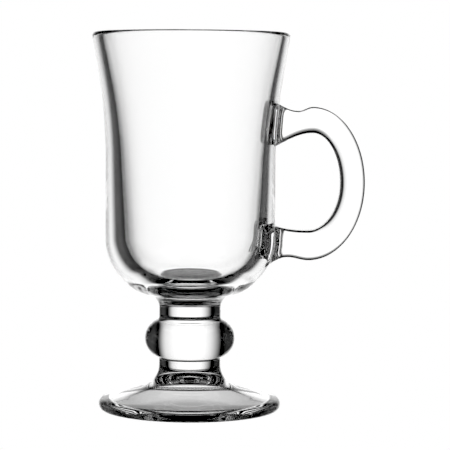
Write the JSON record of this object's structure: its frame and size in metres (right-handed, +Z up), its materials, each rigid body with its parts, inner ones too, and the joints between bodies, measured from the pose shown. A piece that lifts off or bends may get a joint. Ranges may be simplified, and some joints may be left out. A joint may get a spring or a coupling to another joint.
{
  "type": "irish coffee glass mug",
  "caption": "Footed clear glass mug for hot drinks: tall flared bowl on a short knopped stem and a round foot, with an ear-shaped strap handle.",
  "frame": {"origin": "centre of the foot, on the plane that it rests on", "axes": "+Z up along the axis of bowl, stem and foot; +X out through the handle; +Y across the mug, away from the viewer in the picture"},
  "size_m": [0.1068, 0.0774, 0.148],
  "materials": {
    "clear_glass": "fire-polished colourless soda-lime glass"
  },
  "bodies": {
    "root": {"bowl": "clear_glass", "stem": "clear_glass", "foot": "clear_glass", "handle": "clear_glass"}
  },
  "joints": []
}
